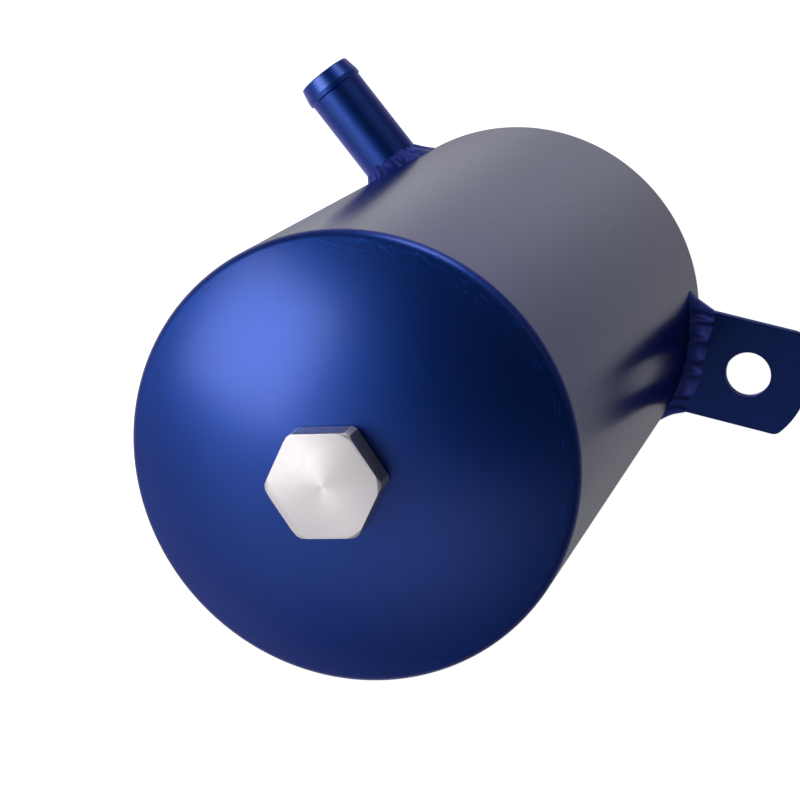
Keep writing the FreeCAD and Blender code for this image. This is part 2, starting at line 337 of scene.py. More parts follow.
def build_ground():
    """Grinding marks along a seam in two passes that cross, from radius Start, at full strength by End."""
    tree, inside, outside = new_group("ground_marks", [
        ("Vector", "INPUT", "NodeSocketVector", None),
        ("Line width", "INPUT", "NodeSocketFloat", 0.0002),
        ("Start", "INPUT", "NodeSocketFloat", 0.033),
        ("End", "INPUT", "NodeSocketFloat", 0.036),
        ("Mask", "OUTPUT", "NodeSocketFloat", None),
    ])
    links = tree.links
    inverse = node(tree, "ShaderNodeMath", operation="DIVIDE")
    inverse.inputs[0].default_value = 1.0
    links.new(inside.outputs["Line width"], inverse.inputs[1])
    split = node(tree, "ShaderNodeSeparateXYZ")
    links.new(inside.outputs["Vector"], split.inputs["Vector"])
    flat = node(tree, "ShaderNodeCombineXYZ")
    links.new(split.outputs["X"], flat.inputs["X"])
    links.new(split.outputs["Y"], flat.inputs["Y"])
    radius = node(tree, "ShaderNodeVectorMath", operation="LENGTH")
    links.new(flat.outputs["Vector"], radius.inputs[0])
    path = node(tree, "ShaderNodeMath", operation="SUBTRACT")
    links.new(radius.outputs["Value"], path.inputs[0])
    links.new(split.outputs["Z"], path.inputs[1])
    bearing = node(tree, "ShaderNodeMath", operation="ARCTAN2")
    links.new(split.outputs["Y"], bearing.inputs[0])
    links.new(split.outputs["X"], bearing.inputs[1])
    masks = []
    for swings, sway in ((5.0, 0.0009), (9.0, -0.0006)):
        turn = node(tree, "ShaderNodeMath", operation="MULTIPLY")
        turn.inputs[1].default_value = swings
        links.new(bearing.outputs["Value"], turn.inputs[0])
        wave = node(tree, "ShaderNodeMath", operation="SINE")
        links.new(turn.outputs["Value"], wave.inputs[0])
        across = node(tree, "ShaderNodeMath", operation="MULTIPLY_ADD")
        across.inputs[1].default_value = sway
        links.new(wave.outputs["Value"], across.inputs[0])
        links.new(path.outputs["Value"], across.inputs[2])
        along = node(tree, "ShaderNodeCombineXYZ")
        for axis in ("X", "Y"):
            slow = node(tree, "ShaderNodeMath", operation="MULTIPLY")
            slow.inputs[1].default_value = 0.03
            links.new(split.outputs[axis], slow.inputs[0])
            links.new(slow.outputs["Value"], along.inputs[axis])
        links.new(across.outputs["Value"], along.inputs["Z"])
        lines = node(tree, "ShaderNodeTexNoise", Detail=2.0, Roughness=0.7)
        links.new(along.outputs["Vector"], lines.inputs["Vector"])
        links.new(inverse.outputs["Value"], lines.inputs["Scale"])
        masks.append(lines.outputs["Fac"])
    both = node(tree, "ShaderNodeMath", operation="MAXIMUM")
    links.new(masks[0], both.inputs[0])
    links.new(masks[1], both.inputs[1])
    thin = ranged(tree, both.outputs["Value"], 0.0, 1.0, 0.60, 0.70)
    fade = node(tree, "ShaderNodeMapRange", interpolation_type="SMOOTHSTEP")
    links.new(radius.outputs["Value"], fade.inputs["Value"])
    links.new(inside.outputs["Start"], fade.inputs["From Min"])
    links.new(inside.outputs["End"], fade.inputs["From Max"])
    mark = node(tree, "ShaderNodeMath", operation="MULTIPLY")
    links.new(thin, mark.inputs[0])
    links.new(fade.outputs["Result"], mark.inputs[1])
    links.new(mark.outputs["Value"], outside.inputs["Mask"])
    return tree


GROUPS = {}


def build_groups():
    GROUPS["grain"] = build_grain()
    GROUPS["dye"] = build_dye()
    GROUPS["lathe"] = build_lathe()
    GROUPS["draw"] = build_draw()
    GROUPS["nicks"] = build_nicks()
    GROUPS["ground"] = build_ground()


def placed(tree, place, turn=(0.0, 0.0, 0.0)):
    """Object coordinates brought to a piece's own centre and axis."""
    where = node(tree, "ShaderNodeTexCoord")
    mapping = node(tree, "ShaderNodeMapping", vector_type="TEXTURE", Location=place, Rotation=turn)
    tree.links.new(where.outputs["Object"], mapping.inputs["Vector"])
    return mapping.outputs["Vector"]


def use_group(tree, name, vector, **values):
    made = node(tree, "ShaderNodeGroup", node_tree=GROUPS[name])
    for label, value in values.items():
        made.inputs[label.replace("_", " ")].default_value = value
    tree.links.new(vector, made.inputs["Vector"])
    return made


def bumped(tree, shader, heights):
    """Adds (mask, depth in metres) pairs as bumps, one on another, to the shader's normal."""
    normal = None
    for mask, depth in heights:
        bump = node(tree, "ShaderNodeBump", Strength=1.0, Distance=depth)
        tree.links.new(mask, bump.inputs["Height"])
        if normal:
            tree.links.new(normal, bump.inputs["Normal"])
        normal = bump.outputs["Normal"]
    tree.links.new(normal, shader.inputs["Normal"])


def new_material(name):
    material = bpy.data.materials.new(name)
    material.use_nodes = True
    return material, material.node_tree, material.node_tree.nodes["Principled BSDF"]


def oxide_film(tree, shader, weight, grazing):
    """The clear oxide over the dye: it mirrors less of what it would at a grazing look, as an etched film does."""
    facing = node(tree, "ShaderNodeLayerWeight")
    film = node(tree, "ShaderNodeMapRange", interpolation_type="SMOOTHSTEP", From_Min=0.74, From_Max=1.0,
                To_Min=weight, To_Max=weight * grazing)
    tree.links.new(facing.outputs["Facing"], film.inputs["Value"])
    tree.links.new(film.outputs["Result"], shader.inputs["Coat Weight"])


def dyed_metal(name, dye, place, turn=(0.0, 0.0, 0.0), film=0.55, grazing=0.45, uneven=0.1,
               edge=(0.02, 0.02, 0.02)):
    """Anodised aluminium with its colour, film and dye clouds; the caller adds its surface marks."""
    material, tree, shader = new_material(name)
    shader.inputs["Metallic"].default_value = 1.0
    shader.inputs["Specular Tint"].default_value = (*edge, 1.0)
    shader.inputs["Coat IOR"].default_value = 1.6
    vector = placed(tree, place, turn)
    dye_depth = use_group(tree, "dye", vector, Dye=(*dye, 1.0), Cloud_size=0.018, Unevenness=uneven)
    tree.links.new(dye_depth.outputs["Colour"], shader.inputs["Base Color"])
    oxide_film(tree, shader, film, grazing)
    return material, tree, shader, vector


def pressed_finish():
    """Pressed ends and their seams: an even satin, with grinding marks where the seam was dressed."""
    material, tree, shader, vector = dyed_metal("anodised_satin", finish().anodise, AXIS, film=0.50)
    shader.inputs["Coat Roughness"].default_value = 0.28
    grain = use_group(tree, "grain", vector, Grain_size=0.00045)
    lines = use_group(tree, "ground", vector, Line_width=0.00016, Start=BODY_RADIUS - 4.6 * MM,
                      End=BODY_RADIUS - 1.6 * MM)
    rough = ranged(tree, grain.outputs["Mask"], 0.41, 0.47, 0.3, 0.7)
    dressed = node(tree, "ShaderNodeMath", operation="MULTIPLY_ADD")
    dressed.inputs[1].default_value = -0.08
    tree.links.new(lines.outputs["Mask"], dressed.inputs[0])
    tree.links.new(rough, dressed.inputs[2])
    tree.links.new(dressed.outputs["Value"], shader.inputs["Roughness"])
    bumped(tree, shader, [(grain.outputs["Mask"], 0.00001), (lines.outputs["Mask"], 0.000028)])
    return material


def drawn_finish():
    """The tube: satin with faint lines along it."""
    material, tree, shader, vector = dyed_metal("anodised_tube", finish().anodise, AXIS, film=0.58, grazing=0.30)
    shader.inputs["Coat Roughness"].default_value = 0.20
    grain = use_group(tree, "grain", vector, Grain_size=0.0005)
    lines = use_group(tree, "draw", vector, Line_width=0.0005)
    tree.links.new(ranged(tree, lines.outputs["Mask"], 0.39, 0.41, 0.3, 0.7), shader.inputs["Roughness"])
    bumped(tree, shader, [(grain.outputs["Mask"], 0.000001)])
    return material


def turned_dyed_finish(name, mount):
    """A spigot: turned, so rings run round its own axis."""
    axis = Vector(MOUNTS[mount]["axis"])
    turn = axis.to_track_quat("Z", "Y").to_euler()
    material, tree, shader, vector = dyed_metal(
        name, finish().anodise, MOUNTS[mount]["pos_m"], turn, film=0.62, grazing=0.25,
        edge=(0.05, 0.10, 0.5))
    shader.inputs["Coat Roughness"].default_value = 0.25
    rings = use_group(tree, "lathe", vector, Ring_spacing=0.00018)
    tree.links.new(ranged(tree, rings.outputs["Mask"], 0.38, 0.46, 0.3, 0.7), shader.inputs["Roughness"])
    bumped(tree, shader, [(rings.outputs["Mask"], 0.000005)])
    return material


def sheet_finish_painted_shade():
    """The bracket plate: rolled sheet, its lines running out from the body. Its colour is darker than the body's
    as painted shade.
    """
    turn = (math.radians(90.0), 0.0, 0.0)
    place = (PLATE_LOW + PLATE_HIGH) / 2
    material, tree, shader, vector = dyed_metal(
        "anodised_sheet_painted_shade", finish().sheet, place, turn, film=0.15, grazing=0.3, edge=(0.03, 0.07, 0.4))
    shader.inputs["Coat Roughness"].default_value = 0.16
    lines = use_group(tree, "draw", vector, Line_width=0.0004)
    tree.links.new(ranged(tree, lines.outputs["Mask"], 0.28, 0.38, 0.3, 0.7), shader.inputs["Roughness"])
    bumped(tree, shader, [(lines.outputs["Mask"], 0.000004)])
    return material


def weld_finish(name, place):
    """Weld beads: cast filler metal, shinier on its pads, and unevenly dyed; their blue is lighter than the
    body's, partly the filler's own violet and partly painted light.
    """
    material, tree, shader, vector = dyed_metal(name, finish().bead, place, film=0.24, grazing=0.4, uneven=0.3)
    shader.inputs["Coat Roughness"].default_value = 0.10
    grain = use_group(tree, "grain", vector, Grain_size=0.0012)
    tree.links.new(ranged(tree, grain.outputs["Mask"], 0.36, 0.52, 0.3, 0.7), shader.inputs["Roughness"])
    bumped(tree, shader, [(grain.outputs["Mask"], 0.00002)])
    return material


def bare_turned_finish():
    """The plug: bare aluminium, faced on a lathe, so the light fans out over its front."""
    material, tree, shader = new_material("turned_aluminium")
    shader.inputs["Metallic"].default_value = 1.0
    shader.inputs["Anisotropic"].default_value = 0.3
    shader.inputs["Anisotropic Rotation"].default_value = 0.25
    vector = placed(tree, AXIS)
    rings = use_group(tree, "lathe", vector, Ring_spacing=0.00012)
    grain = use_group(tree, "grain", vector, Grain_size=0.0008)
    tint = node(tree, "ShaderNodeMix", data_type="RGBA")
    tint.inputs["A"].default_value = (*finish().bare, 1.0)
    tint.inputs["B"].default_value = (*(0.93 * level for level in finish().bare), 1.0)
    tree.links.new(rings.outputs["Mask"], tint.inputs["Factor"])
    tree.links.new(tint.outputs["Result"], shader.inputs["Base Color"])
    tree.links.new(ranged(tree, grain.outputs["Mask"], 0.44, 0.54, 0.3, 0.7), shader.inputs["Roughness"])
    bumped(tree, shader, [(rings.outputs["Mask"], 0.000004)])
    tangent = node(tree, "ShaderNodeTangent", direction_type="RADIAL", axis="Z")
    tree.links.new(tangent.outputs["Tangent"], shader.inputs["Tangent"])
    return material


def bare_milled_finish():
    """The plug's six flats: milled, so smoother than its face, and nicked by spanners; their colour is painted
    darker than the face's as painted shade.
    """
    material, tree, shader = new_material("milled_aluminium_painted_shade")
    shader.inputs["Metallic"].default_value = 1.0
    vector = placed(tree, AXIS)
    lines = use_group(tree, "lathe", vector, Ring_spacing=0.00025)
    nicks = use_group(tree, "nicks", vector, Size=0.0012)
    tint = node(tree, "ShaderNodeMix", data_type="RGBA")
    # Painted shade: the flats' metal colour is darker than the turned face's.
    tint.inputs["A"].default_value = (*(0.78 * level for level in finish().bare), 1.0)
    tint.inputs["B"].default_value = (*(0.5 * level for level in finish().bare), 1.0)
    tree.links.new(nicks.outputs["Mask"], tint.inputs["Factor"])
    tree.links.new(tint.outputs["Result"], shader.inputs["Base Color"])
    tree.links.new(ranged(tree, lines.outputs["Mask"], 0.36, 0.46, 0.3, 0.7), shader.inputs["Roughness"])
    bumped(tree, shader, [(lines.outputs["Mask"], 0.000005), (nicks.outputs["Mask"], -0.00004)])
    return material


def seal_finish():
    """The flat washer: matt, slightly dusty rubber-faced seal."""
    material, tree, shader = new_material("seal_rubber")
    vector = placed(tree, AXIS)
    grain = use_group(tree, "grain", vector, Grain_size=0.0006)
    tint = node(tree, "ShaderNodeMix", data_type="RGBA")
    tint.inputs["A"].default_value = (*finish().seal, 1.0)
    tint.inputs["B"].default_value = (*(1.6 * level for level in finish().seal), 1.0)
    tree.links.new(grain.outputs["Mask"], tint.inputs["Factor"])
    tree.links.new(tint.outputs["Result"], shader.inputs["Base Color"])
    tree.links.new(ranged(tree, grain.outputs["Mask"], 0.62, 0.78, 0.3, 0.7), shader.inputs["Roughness"])
    bumped(tree, shader, [(grain.outputs["Mask"], 0.00001)])
    return material


def dress(name, material):
    mesh = frame["nodes"][name].data
    mesh.materials.clear()
    mesh.materials.append(material)


def face_outwards(bm):
    """Turns every face of a closed shell outwards."""
    bmesh.ops.recalc_face_normals(bm, faces=bm.faces)
    if bm.calc_volume(signed=True) < 0.0:
        bmesh.ops.reverse_faces(bm, faces=bm.faces)


def finish_piece(name, bm, materials, body, stands_for, sharp=40.0):
    """Makes the bmesh an object that rides on its body in place of the frame's plain solid."""
    face_outwards(bm)
    mesh = bpy.data.meshes.new(name)
    bm.to_mesh(mesh)
    bm.free()
    mesh.shade_smooth()
    mesh.set_sharp_from_angle(angle=math.radians(sharp))
    for material in materials:
        mesh.materials.append(material)
    obj = bpy.data.objects.new(name, mesh)
    bpy.context.scene.collection.objects.link(obj)
    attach(obj, body)
    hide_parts(stands_for)
    return obj


def section(bm, points):
    """Vertices and edges through (radius, height) points, in the XZ plane."""
    verts = [bm.verts.new((radius, 0.0, height)) for radius, height in points]
    edges = [bm.edges.new(pair) for pair in zip(verts, verts[1:])]
    return verts, edges


def spin(bm, geom, steps, turns=1, climb=0.0):
    """Turns a section about Z, climbing that far in one turn."""
    bmesh.ops.spin(
        bm, geom=geom, cent=(0.0, 0.0, 0.0), axis=(0.0, 0.0, 1.0), dvec=(0.0, 0.0, climb / steps),
        angle=math.tau * turns, steps=steps * turns, use_merge=climb == 0.0, use_normal_flip=False,
        use_duplicate=False)


def open_edges(bm):
    return [edge for edge in bm.edges if edge.is_boundary]


def cut(bm, place, outward):
    """Cuts away what lies beyond a plane."""
    bmesh.ops.bisect_plane(
        bm, geom=bm.verts[:] + bm.edges[:] + bm.faces[:], dist=1e-7, plane_co=place, plane_no=outward,
        clear_outer=True)


def ring_faces(bm, radius, side, reach):
    """The faces of one wall of the tube inside a square around a spigot's axis."""
    mount = MOUNTS[f"{side}_hose"]
    axis = Vector(mount["axis"])
    height = mount["pos_m"][2]
    across = Vector((0.0, 0.0, 1.0)).cross(axis)
    found = []
    for face in bm.faces:
        middle = face.calc_center_median()
        wall = math.hypot(middle.x, middle.y)
        near = abs(middle.dot(across)) < reach and abs(middle.z - height) < reach and middle.dot(axis) > 0.0
        if near and abs(wall - radius) < 0.5 * MM:
            found.append(face)
    return found


def wall_circle(bm, radius, hole, side, count):
    """A spigot hole's edge on a wall of the tube."""
    mount = MOUNTS[f"{side}_hose"]
    axis = Vector(mount["axis"])
    across = Vector((0.0, 0.0, 1.0)).cross(axis)
    made = bmesh.ops.create_circle(bm, cap_ends=False, segments=count, radius=hole)["verts"]
    for vert in made:
        depth = math.sqrt(radius ** 2 - vert.co.x ** 2)
        vert.co = axis * depth + across * vert.co.x + Vector((0.0, 0.0, mount["pos_m"][2] + vert.co.y))
    return made


def build_tube(material):
    """The drawn tube with its two spigot holes."""
    low, high = TUBE_LOW.z, TUBE_HIGH.z
    bore = BODY_RADIUS - 2.0 * MM
    hole = weld_sizes().spigot / 2 + 0.05 * MM
    spigot_height = MOUNTS["inlet_hose"]["pos_m"][2]
    block = 8.0 * MM
    rows = [low, low + 2.0 * MM, (low + spigot_height) / 2]
    rows += [spigot_height + (k / 4 - 1.25) * block for k in range(10)]
    rows += [high]
    bm = bmesh.new()
    points = [(BODY_RADIUS, z) for z in rows] + [(bore, z) for z in reversed(rows)]
    verts, edges = section(bm, points)
    edges.append(bm.edges.new((verts[-1], verts[0])))
    spin(bm, verts + edges, 360)
    bmesh.ops.recalc_face_normals(bm, faces=bm.faces)
    for side in ("inlet", "outlet"):
        rims = []
        for wall in (BODY_RADIUS, bore):
            held = {edge for edge in bm.edges if edge.is_boundary}
            bmesh.ops.delete(bm, geom=ring_faces(bm, wall, side, block), context="FACES")
            square = [edge for edge in bm.edges if edge.is_boundary and edge not in held]
            circle = wall_circle(bm, wall, hole, side, len(square))
            ring = list({edge for vert in circle for edge in vert.link_edges})
            bmesh.ops.bridge_loops(bm, edges=square + ring)
            rims += ring
        bmesh.ops.bridge_loops(bm, edges=rims)
    bmesh.ops.translate(bm, verts=bm.verts, vec=AXIS)
    return finish_piece("drawn_tube", bm, [material], "can", "body_tube")


def closing(first, last, count):
    """Radii from first to last in steps that close up towards last."""
    return [first + (last - first) * math.sin(math.pi / 2 * k / count) for k in range(count + 1)]


def crown_points(radii, depth=0.0):
    """Points of an end's dished face, or of the face that lies depth inside it, above the tube's edge."""
    sizes = end_sizes()
    centre = math.sqrt((sizes.crown - sizes.rim) ** 2 - (BODY_RADIUS - sizes.rim) ** 2)
    return [(radius, centre - math.sqrt((sizes.crown - depth) ** 2 - radius ** 2)) for radius in radii]


def spin_end(end, points, closed):
    """A section of an end, with heights counted into the can from the tube's edge, spun about the axis."""
    bm = bmesh.new()
    edge, inward = (TUBE_LOW.z, 1.0) if end == "bottom" else (TUBE_HIGH.z, -1.0)
    verts, edges = section(bm, [(radius, edge + inward * height) for radius, height in points])
    if closed:
        edges.append(bm.edges.new((verts[-1], verts[0])))
    spin(bm, verts + edges, 360)
    bmesh.ops.remove_doubles(bm, verts=bm.verts, dist=1e-7)
    bmesh.ops.translate(bm, verts=bm.verts, vec=AXIS)
    return bm


def build_pressed_end(end, hole, material):
    """A pressed end: a dished face, a bevel for the seam weld and a skirt that stands in the tube."""
    sizes = end_sizes()
    skirt = BODY_RADIUS - 2.05 * MM
    bore = skirt - sizes.wall
    face = crown_points(closing(hole, skirt - sizes.bevel, 36))
    inside = crown_points(closing(hole, bore - 1.5 * MM, 12), sizes.wall)
    top, foot = Vector((bore, sizes.skirt - 0.75 * MM)), Vector(inside[-1])
    corner = Vector((bore, 0.15 * MM))
    bend = interpolate_bezier(top, top.lerp(corner, 2 / 3), foot.lerp(corner, 2 / 3), foot, 8)
    points = face + [(skirt, face[-1][1] + sizes.bevel), (skirt, sizes.skirt), (bore, sizes.skirt)]
    points += [tuple(point) for point in bend] + inside[-2::-1]
    bm = spin_end(end, points, closed=hole > 0.0)
    return finish_piece(f"pressed_{end}_end", bm, [material], "can", f"{end}_dome", 12.0)


def build_seam(end, material):
    """The seam weld, ground down to the dished face and round the rim into the tube's side."""
    sizes = end_sizes()
    skirt = BODY_RADIUS - 2.05 * MM
    middle = BODY_RADIUS - sizes.rim
    lean = math.asin(middle / (sizes.crown - sizes.rim))
    face = crown_points(closing(middle + sizes.rim * math.sin(lean), skirt - sizes.bevel, 10)[::-1])
    angles = [(math.pi / 2 - lean) * (1.0 - k / 12) for k in range(1, 13)]
    rim = [(middle + sizes.rim * math.cos(angle), -sizes.rim * math.sin(angle)) for angle in angles]
    points = face + rim + [(skirt, 0.0), (skirt, face[0][1] + sizes.bevel)]
    bm = spin_end(end, points, closed=True)
    solid = f"{end}_seam_weld"
    return finish_piece(f"ground_{end}_seam", bm, [material], "can", solid, 12.0)


def set_radius(vert, radius):
    length = math.hypot(vert.co.x, vert.co.y)
    if length > 0.0:
        vert.co.x *= radius / length
        vert.co.y *= radius / length


THREAD_STEPS = 48


def thread_surface(bm, crest, root, pitch, low, high):
    """One start of a right-hand 60 degree thread between two heights, open at both ends."""
    start = pitch * math.floor(low / pitch) - pitch
    turns = math.ceil((high - start) / pitch) + 1
    profile = [(root, 0.0), (root, 0.17), (crest, 0.52), (crest, 0.65), (root, 1.0)]
    verts, edges = section(bm, [(radius, start + part * pitch) for radius, part in profile])
    spin(bm, verts + edges, THREAD_STEPS, turns, pitch)
    bmesh.ops.remove_doubles(bm, verts=bm.verts, dist=pitch * 0.002)
    cut(bm, (0.0, 0.0, low), (0.0, 0.0, -1.0))
    cut(bm, (0.0, 0.0, high), (0.0, 0.0, 1.0))


def carry(bm, edges, radius, height):
    """Extrudes a ring of edges to another radius and height and gives the new ring."""
    made = bmesh.ops.extrude_edge_only(bm, edges=edges)["geom"]
    for vert in (part for part in made if isinstance(part, bmesh.types.BMVert)):
        set_radius(vert, radius)
        vert.co.z = height
    return [part for part in made if isinstance(part, bmesh.types.BMEdge)]


def hexagon_head(bm, low, sizes):
    """Round bar with a chamfered front, milled to a hexagon by six cuts."""
    bar = sizes.bar / 2
    face = sizes.face / 2
    fall = (bar - face) * math.tan(math.radians(30.0))
    high = low + sizes.height
    verts, edges = section(bm, [(0.0, low), (face, low), (bar, low + fall), (bar, high), (0.0, high)])
    spin(bm, verts + edges, 144)
    bmesh.ops.remove_doubles(bm, verts=bm.verts, dist=1e-7)
    for k in range(6):
        angle = sizes.turn + math.radians(30.0 + 60.0 * k)
        outward = Vector((math.cos(angle), math.sin(angle), 0.0))
        cut(bm, outward * sizes.flats / 2, outward)
        bmesh.ops.holes_fill(bm, edges=open_edges(bm), sides=0)
    face_outwards(bm)
    bmesh.ops.dissolve_limit(
        bm, angle_limit=math.radians(0.2), verts=bm.verts[:], edges=bm.edges[:], use_dissolve_boundaries=False)
    rim = [edge for edge in bm.edges if edge.is_manifold and edge.calc_face_angle() > math.radians(15.0)]
    bmesh.ops.bevel(
        bm, geom=rim, offset=0.09 * MM, offset_type="OFFSET", segments=2, profile=0.5, affect="EDGES",
        clamp_overlap=True, material=-1)


def plug_thread(bm, seat, sizes):
    """The relieved shank with its thread, open where it meets the head and closed at its pointed end."""
    crest = sizes.thread / 2
    root = crest - 0.61 * sizes.pitch
    end = PLUG_HIGH.z
    thread_surface(bm, crest, root, sizes.pitch, seat, end)
    tip = [edge for edge in open_edges(bm) if edge.verts[0].co.z > (seat + end) / 2]
    bmesh.ops.holes_fill(bm, edges=tip, sides=0)
    for vert in bm.verts:
        relief = crest - 0.9 * MM + max(0.0, vert.co.z - seat - 1.5 * MM)
        point = crest - 1.0 * MM + (end - vert.co.z)
        radius = math.hypot(vert.co.x, vert.co.y)
        set_radius(vert, min(radius, relief, point))


def join(bm, other):
    """Adds another bmesh's shell to this one."""
    mesh = bpy.data.meshes.new("joined")
    other.to_mesh(mesh)
    other.free()
    bm.from_mesh(mesh)
    bpy.data.meshes.remove(mesh)


def build_plug(materials):
    """The plug: its first material is the turned metal and its second the milled flats."""
    sizes = plug_sizes()
    seat = PLUG_LOW.z + sizes.height
    bm = bmesh.new()
    hexagon_head(bm, PLUG_LOW.z, sizes)
    for face in bm.faces:
        bearing = math.atan2(face.normal.y, face.normal.x) - sizes.turn - math.radians(30.0)
        off = abs((bearing + math.pi / 6) % (math.pi / 3) - math.pi / 6)
        face.material_index = 1 if abs(face.normal.z) < 0.1 and off < 0.02 else 0
    back = [face for face in bm.faces if face.calc_center_median().z > seat - 0.01 * MM]
    bmesh.ops.delete(bm, geom=back, context="FACES")
    shank = bmesh.new()
    plug_thread(shank, seat, sizes)
    join(bm, shank)
    bmesh.ops.bridge_loops(bm, edges=open_edges(bm))
    bmesh.ops.translate(bm, verts=bm.verts, vec=AXIS)
    return finish_piece("threaded_plug", bm, materials, "drain_plug", "drain_plug", 30.0)


def build_bush(material):
    """The bush inside the end: its thread follows the plug's, with a running clearance."""
    sizes = plug_sizes()
    clearance = 0.09 * MM
    crest = sizes.thread / 2 + clearance
    root = crest - 0.61 * sizes.pitch
    low, high = BUSH_LOW.z, BUSH_HIGH.z
    outer = (BUSH_HIGH.x - BUSH_LOW.x) / 2
    mouth = 8.2 * MM
    shoulder = low + 1.83 * MM
    bm = bmesh.new()
    thread_surface(bm, crest, root, sizes.pitch, low, high)
    for vert in bm.verts:
        entry = crest + 0.15 * MM - min(vert.co.z - low, high - vert.co.z)
        set_radius(vert, max(math.hypot(vert.co.x, vert.co.y), entry))
    lower = [edge for edge in open_edges(bm) if edge.verts[0].co.z < (low + high) / 2]
    upper = [edge for edge in open_edges(bm) if edge.verts[0].co.z > (low + high) / 2]
    for radius, height in ((mouth, low), (mouth, shoulder), (outer, shoulder), (outer, high - 0.8 * MM),
                           (outer - 0.8 * MM, high)):
        lower = carry(bm, lower, radius, height)
    bmesh.ops.bridge_loops(bm, edges=lower + upper)
    bmesh.ops.translate(bm, verts=bm.verts, vec=AXIS)
    return finish_piece("threaded_bush", bm, [material], "can", "drain_bush", 30.0)


BEAD_COLUMNS = 12


def bead_blank(bm, steps):
    """A ring whose section is a flat strip from radius 1 to 2 over a root point, to be laid along a weld."""
    points = [(1.0 + k / BEAD_COLUMNS, 0.0) for k in range(BEAD_COLUMNS + 1)] + [(1.5, -1.0)]
    verts, edges = section(bm, points)
    edges.append(bm.edges.new((verts[-1], verts[0])))
    spin(bm, verts + edges, steps)


def pads(angle, across, count, seed):
    """Height of the overlapping pads of weld metal, 0 in a crease and 1 on top, at an angle round the bead."""
    drift = noise.noise(Vector((2.2 * math.cos(angle), 2.2 * math.sin(angle), seed)))
    lag = 0.3 * (2.0 * across - 1.0) ** 2
    part = (count * angle / math.tau + 0.6 * drift + lag) % 1.0
    return 1.0 - abs(2.0 * part ** 0.85 - 1.0) ** 3


def wander(angle, scale, seed):
    """A slow, closed change round a bead, from about -1 to 1."""
    return 2.0 * noise.noise(Vector((scale * math.cos(angle), scale * math.sin(angle), seed + 7.3)))


def lay_bead(bm, toe_at, foot_at, root_at, count, seed, rise, sag, calm_at):
    """Lays the blank ring along a weld, from its toe on one piece to its foot on the other, in pads."""
    for vert in bm.verts:
        angle = math.atan2(vert.co.y, vert.co.x)
        root = root_at(angle)
        if vert.co.z < -0.5:
            vert.co = root
            continue
        across = math.hypot(vert.co.x, vert.co.y) - 1.0
        calm = calm_at(angle)
        toe_pad = (pads(angle, 0.0, count, seed) - 0.75) * calm
        toe = toe_at(angle, 1.0 + 0.2 * toe_pad + 0.12 * wander(angle, 1.6, seed))
        foot_pad = (pads(angle, 1.0, count, seed) - 0.75) * calm
        foot = foot_at(angle, 1.0 + 0.12 * foot_pad + 0.10 * wander(angle, 1.9, seed + 3.0))
        chord = toe.lerp(foot, across)
        outward = (chord - root).normalized()
        arch = max(0.0, math.sin(math.pi * across))
        lump = (pads(angle, across, count, seed) - 0.75) * calm
        size = 1.0 + 0.5 * wander(angle, 2.5, seed + 5.0)
        fine = noise.noise(chord * 700.0 + Vector((seed, 0.0, 0.0)))
        vert.co = chord + outward * arch * (rise * (lump * size + 0.2 * fine) - sag)


def build_spigot_bead(side, material):
    """The fillet bead round a spigot, its foot on the round tube."""
    sizes = weld_sizes()
    mount = MOUNTS[f"{side}_hose"]
    axis = Vector(mount["axis"])
    across = Vector((0.0, 0.0, 1.0)).cross(axis)
    up = Vector((0.0, 0.0, 1.0))
    base = Vector((AXIS.x, AXIS.y, mount["pos_m"][2]))
    radius = sizes.spigot / 2

    def at(angle, reach, height):
        return base + axis * height + (across * math.cos(angle) + up * math.sin(angle)) * reach

    def wall(angle, reach):
        return math.sqrt(BODY_RADIUS ** 2 - (reach * math.cos(angle)) ** 2)

    def toe_at(angle, grow):
        reach = radius - 0.08 * MM
        lean = 0.5 * MM * (1.0 - math.cos(angle))
        return at(angle, reach, wall(angle, reach) + sizes.spigot_leg * grow + lean)

    def foot_at(angle, grow):
        reach = radius + sizes.spigot_foot * grow + 0.25 * MM * (1.0 + math.cos(angle))
        return at(angle, reach, wall(angle, reach) - 0.1 * MM)

    def root_at(angle):
        reach = radius - 0.3 * MM
        return at(angle, reach, wall(angle, reach) - 0.6 * MM)

    count = round(math.tau * (radius + sizes.spigot_foot / 2) / (sizes.pad * 1.25))
    bm = bmesh.new()
    bead_blank(bm, 300)
    lay_bead(bm, toe_at, foot_at, root_at, count, 4.0 if side == "inlet" else 11.0,
             0.3 * MM, 0.15 * MM, lambda angle: 1.0)
    return finish_piece(f"{side}_bead", bm, [material], "can", f"{side}_weld", 75.0)


